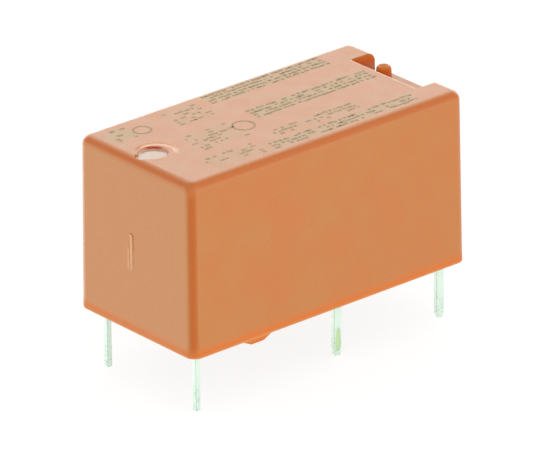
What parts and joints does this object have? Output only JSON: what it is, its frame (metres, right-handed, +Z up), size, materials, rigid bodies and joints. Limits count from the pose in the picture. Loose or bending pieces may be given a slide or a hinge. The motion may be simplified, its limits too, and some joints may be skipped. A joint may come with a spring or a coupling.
{
  "type": "pcb power relay",
  "caption": "Slim sealed relay for a circuit board: orange moulded cover with vent notch, thin coil pins, wider contact pins and a hinged magnet system inside.",
  "frame": {"origin": "middle of the body on the surface of the board that its standoffs rest on", "axes": "+X along the body from the coil end to the contact end with the vent notch, +Y across it from the side with the contact pins, +Z up from the board"},
  "size_m": [0.02, 0.0098, 0.014],
  "materials": {
    "orange_plastic": "moulded glass-filled polyester, fine satin",
    "black_plastic": "moulded, matt",
    "amber_resin": "poured, glossy",
    "ivory_plastic": "moulded, matt",
    "copper_enamel": "enamelled wire",
    "yellow_tape": "smooth film",
    "plated_iron": "plated",
    "shim_brass": "bright",
    "spring_bronze": "rolled",
    "contact_silver": "bright silver alloy",
    "tinned_copper": "tinned"
  },
  "bodies": {
    "housing": {"cover": "orange_plastic", "base": "black_plastic", "sealing_resin": "amber_resin", "bobbin": "ivory_plastic", "coil_winding": "copper_enamel", "coil_lead_left": "copper_enamel", "coil_lead_right": "copper_enamel", "coil_tape": "yellow_tape", "core": "plated_iron", "yoke": "plated_iron", "armature_spring": "spring_bronze", "fixed_contact": "contact_silver", "common_terminal": "tinned_copper", "fixed_terminal": "tinned_copper", "coil_terminal_left": "tinned_copper", "coil_terminal_right": "tinned_copper"},
    "armature": {"armature": "plated_iron", "residual_shim": "shim_brass"},
    "card": {"actuator_card": "ivory_plastic"},
    "contact_blade": {"contact_spring": "spring_bronze", "moving_contact": "contact_silver"}
  },
  "joints": [
    {"name": "armature_tilt", "type": "hinge", "parent": "housing", "child": "armature", "pos_m": [-0.00718, 0, 0.00183], "axis": [0, 1, 0], "range_deg": [0, 4.5], "stiffness_Nm_per_rad": 0.002, "springref_deg": -17.19},
    {"name": "card_slide", "type": "slide", "parent": "housing", "child": "card", "axis": [1, 0, 0], "range_m": [0, 0.0005761]},
    {"name": "contact_spring_flex", "type": "hinge", "parent": "housing", "child": "contact_blade", "pos_m": [0.0062, 0, 0.00263], "axis": [0, 1, 0], "range_deg": [0, 5.29]}
  ],
  "couplings": [
    {"joint": "card_slide", "follows": "armature_tilt", "m_per_rad": 0.0073351},
    {"joint": "contact_spring_flex", "follows": "armature_tilt", "ratio": 1.1759}
  ]
}
